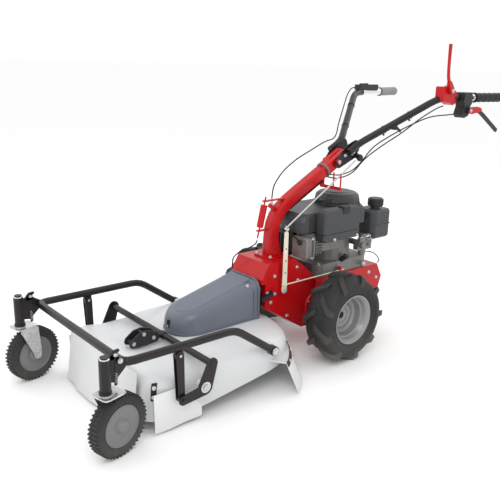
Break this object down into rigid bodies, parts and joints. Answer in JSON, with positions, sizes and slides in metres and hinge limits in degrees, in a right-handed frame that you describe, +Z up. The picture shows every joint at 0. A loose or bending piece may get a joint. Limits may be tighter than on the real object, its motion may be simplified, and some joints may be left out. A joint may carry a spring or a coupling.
{
  "type": "brush mower",
  "caption": "Walk-behind two-wheel tractor with a wide front brush mower deck on caster wheels, engine over the axle and long rear handlebars with levers.",
  "frame": {"origin": "on the ground under the middle of the machine's footprint", "axes": "-Y leads with the mower deck, +Y trails with the handlebars, +X is the machine's left side, +Z is up"},
  "size_m": [0.7072, 1.9377, 1.1522],
  "materials": {
    "red_paint": "gloss red paint",
    "black_paint": "gloss black paint",
    "black_plastic": "matte black plastic",
    "grey_cover": "satin blue-grey plastic",
    "deck_paint": "satin pale grey paint",
    "flap_rubber": "matte pale grey rubber",
    "zinc": "zinc plated steel",
    "cream_paint": "satin cream paint",
    "cast_aluminium": "rough cast aluminium",
    "rim_paint": "satin silver paint",
    "tyre_rubber": "matte black rubber",
    "grip_rubber": "matte black rubber",
    "disc_plastic": "matte grey plastic",
    "steel": "ground steel",
    "cable_black": "black plastic sleeve"
  },
  "bodies": {
    "chassis": {"gearbox_housing": "red_paint", "hood": "red_paint", "rear_chassis": "red_paint", "engine_block": "cast_aluminium", "valve_cover": "cast_aluminium", "engine_shroud": "black_plastic", "recoil_cover": "black_plastic", "air_filter_box": "black_plastic", "fuel_tank": "black_plastic", "muffler": "black_paint", "mower_deck": "deck_paint", "transmission_cover": "grey_cover", "angle_gearbox": "black_paint", "height_quadrant": "black_plastic", "front_curtain": "flap_rubber", "left_side_flap": "flap_rubber", "right_side_flap": "flap_rubber", "rear_skirt": "flap_rubber", "lock_cable": "cable_black"},
    "drive_wheels": {"axle_shaft": "steel", "left_rim": "rim_paint", "right_rim": "rim_paint", "left_tyre": "tyre_rubber", "right_tyre": "tyre_rubber"},
    "coupling_latch_arm": {"coupling_latch": "black_plastic"},
    "column": {"steering_column": "red_paint", "throttle_cable": "cable_black", "brake_cable": "cable_black", "clutch_cable": "cable_black"},
    "lock_handle": {"column_lock_handle": "red_paint"},
    "handlebars": {"handlebar_clamp": "black_paint", "left_handlebar": "black_paint", "right_handlebar": "black_paint", "left_grip": "grip_rubber", "right_grip": "grip_rubber", "brake_bracket": "black_plastic", "clutch_bracket": "red_paint", "throttle_housing": "black_plastic"},
    "brake_arm": {"brake_lever": "black_plastic"},
    "clutch_arm": {"clutch_lever": "red_paint"},
    "throttle_arm": {"throttle_lever": "black_plastic"},
    "gear_arm": {"gear_lever": "cream_paint"},
    "rod_joint": {"rod_clevis": "zinc"},
    "gear_rod": {"selector_rod": "zinc"},
    "shift_rod": {"selector_link_rod": "cream_paint"},
    "filler_cap": {"fuel_cap": "black_plastic"},
    "recoil_grip": {"starter_grip": "black_plastic"},
    "blade_rotor": {"blade_spindle": "steel", "blade": "steel"},
    "drive_line": {"drive_shaft": "steel"},
    "lift_crank": {"height_crank": "black_paint"},
    "caster_frame": {"front_frame": "black_paint"},
    "left_lift_link": {"left_link": "black_paint"},
    "right_lift_link": {"right_link": "black_paint"},
    "left_caster_fork": {"left_fork": "zinc"},
    "right_caster_fork": {"right_fork": "zinc"},
    "left_caster": {"left_caster_wheel": "disc_plastic", "left_caster_tyre": "tyre_rubber"},
    "right_caster": {"right_caster_wheel": "disc_plastic", "right_caster_tyre": "tyre_rubber"}
  },
  "joints": [
    {"name": "axle_spin", "type": "hinge", "parent": "chassis", "child": "drive_wheels", "pos_m": [0, 0.1005, 0.165], "axis": [1, 0, 0], "continuous": true},
    {"name": "latch_hinge", "type": "hinge", "parent": "chassis", "child": "coupling_latch_arm", "pos_m": [0.0895, -0.1755, 0.246], "axis": [1, 0, 0], "range_deg": [0, 35]},
    {"name": "column_swivel", "type": "hinge", "parent": "chassis", "child": "column", "pos_m": [0, -0.0595, 0.3795], "axis": [0, 0, 1], "range_deg": [-15, 15], "deforming": ["throttle_cable", "brake_cable", "clutch_cable", "lock_cable"]},
    {"name": "lock_slide", "type": "slide", "parent": "column", "child": "lock_handle", "axis": [0, 0.2238, 0.9746], "range_m": [0, 0.008], "stiffness_N_per_m": 150, "deforming": ["lock_cable"]},
    {"name": "handlebar_tilt", "type": "hinge", "parent": "column", "child": "handlebars", "pos_m": [0, 0.2415, 0.704], "axis": [1, 0, 0], "range_deg": [-12, 20], "deforming": ["throttle_cable", "brake_cable", "clutch_cable", "lock_cable"]},
    {"name": "brake_hinge", "type": "hinge", "parent": "handlebars", "child": "brake_arm", "pos_m": [0.268, 0.7395, 0.903], "axis": [1, 0, 0], "range_deg": [0, 14], "stiffness_Nm_per_rad": 2},
    {"name": "clutch_hinge", "type": "hinge", "parent": "handlebars", "child": "clutch_arm", "pos_m": [0.247, 0.6315, 0.979], "axis": [1, 0, 0], "range_deg": [-40, 0], "stiffness_Nm_per_rad": 3},
    {"name": "throttle_hinge", "type": "hinge", "parent": "handlebars", "child": "throttle_arm", "pos_m": [-0.2265, 0.6875, 0.985], "axis": [0, 0, 1], "range_deg": [-30, 30]},
    {"name": "gear_hinge", "type": "hinge", "parent": "chassis", "child": "gear_arm", "pos_m": [0.1005, -0.0835, 0.265], "axis": [1, 0, 0], "range_deg": [-7, 7]},
    {"name": "rod_pitch", "type": "hinge", "parent": "gear_arm", "child": "rod_joint", "pos_m": [0.1005, -0.0835, 0.4975], "axis": [1, 0, 0], "range_deg": [-12, 12]},
    {"name": "rod_yaw", "type": "hinge", "parent": "rod_joint", "child": "gear_rod", "pos_m": [0.1005, -0.0835, 0.4975], "axis": [0, 0, 1], "range_deg": [-15, 15]},
    {"name": "shift_rod_pitch", "type": "hinge", "parent": "gear_arm", "child": "shift_rod", "pos_m": [0.1062, -0.0835, 0.29], "axis": [1, 0, 0], "range_deg": [-8, 8]},
    {"name": "cap_turn", "type": "hinge", "parent": "chassis", "child": "filler_cap", "pos_m": [0.068, 0.4465, 0.5145], "axis": [0, 0, 1], "range_deg": [-90, 0]},
    {"name": "starter_pull", "type": "slide", "parent": "chassis", "child": "recoil_grip", "axis": [0, -1, 0], "range_m": [0, 0.08], "stiffness_N_per_m": 30},
    {"name": "blade_spin", "type": "hinge", "parent": "chassis", "child": "blade_rotor", "pos_m": [0, -0.4375, 0.079], "axis": [0, 0, 1], "continuous": true},
    {"name": "drive_spin", "type": "hinge", "parent": "chassis", "child": "drive_line", "pos_m": [0, -0.1275, 0.224], "axis": [0, 1, 0], "continuous": true},
    {"name": "frame_pivot", "type": "hinge", "parent": "chassis", "child": "caster_frame", "pos_m": [0, -0.2995, 0.155], "axis": [1, 0, 0], "range_deg": [-1.4, 2.4]},
    {"name": "crank_turn", "type": "hinge", "parent": "chassis", "child": "lift_crank", "pos_m": [0, -0.5875, 0.121], "axis": [1, 0, 0], "range_deg": [-6.6, 11.2]},
    {"name": "left_link_pivot", "type": "hinge", "parent": "caster_frame", "child": "left_lift_link", "pos_m": [0.283, -0.6735, 0.245], "axis": [1, 0, 0], "range_deg": [-2, 2]},
    {"name": "right_link_pivot", "type": "hinge", "parent": "caster_frame", "child": "right_lift_link", "pos_m": [-0.283, -0.6735, 0.245], "axis": [1, 0, 0], "range_deg": [-2, 2]},
    {"name": "left_swivel", "type": "hinge", "parent": "caster_frame", "child": "left_caster_fork", "pos_m": [0.2915, -0.9145, 0.1985], "axis": [0, 0, 1], "continuous": true},
    {"name": "right_swivel", "type": "hinge", "parent": "caster_frame", "child": "right_caster_fork", "pos_m": [-0.2915, -0.9145, 0.1985], "axis": [0, 0, 1], "continuous": true},
    {"name": "left_caster_spin", "type": "hinge", "parent": "left_caster_fork", "child": "left_caster", "pos_m": [0.2825, -0.87553, 0.0935], "axis": [0.9744, 0.225, 0], "continuous": true},
    {"name": "right_caster_spin", "type": "hinge", "parent": "right_caster_fork", "child": "right_caster", "pos_m": [-0.29913, -0.87523, 0.0935], "axis": [0.9816, 0.1908, 0], "continuous": true}
  ],
  "couplings": [
    {"joint": "rod_pitch", "follows": "gear_hinge", "ratio": -1.38},
    {"joint": "shift_rod_pitch", "follows": "gear_hinge", "ratio": -1},
    {"joint": "rod_yaw", "follows": "column_swivel", "ratio": 0.93},
    {"joint": "drive_spin", "follows": "blade_spin", "ratio": 1},
    {"joint": "crank_turn", "follows": "frame_pivot", "ratio": 4.6296},
    {"joint": "left_link_pivot", "follows": "frame_pivot", "ratio": 0.28},
    {"joint": "right_link_pivot", "follows": "frame_pivot", "ratio": 0.28}
  ]
}
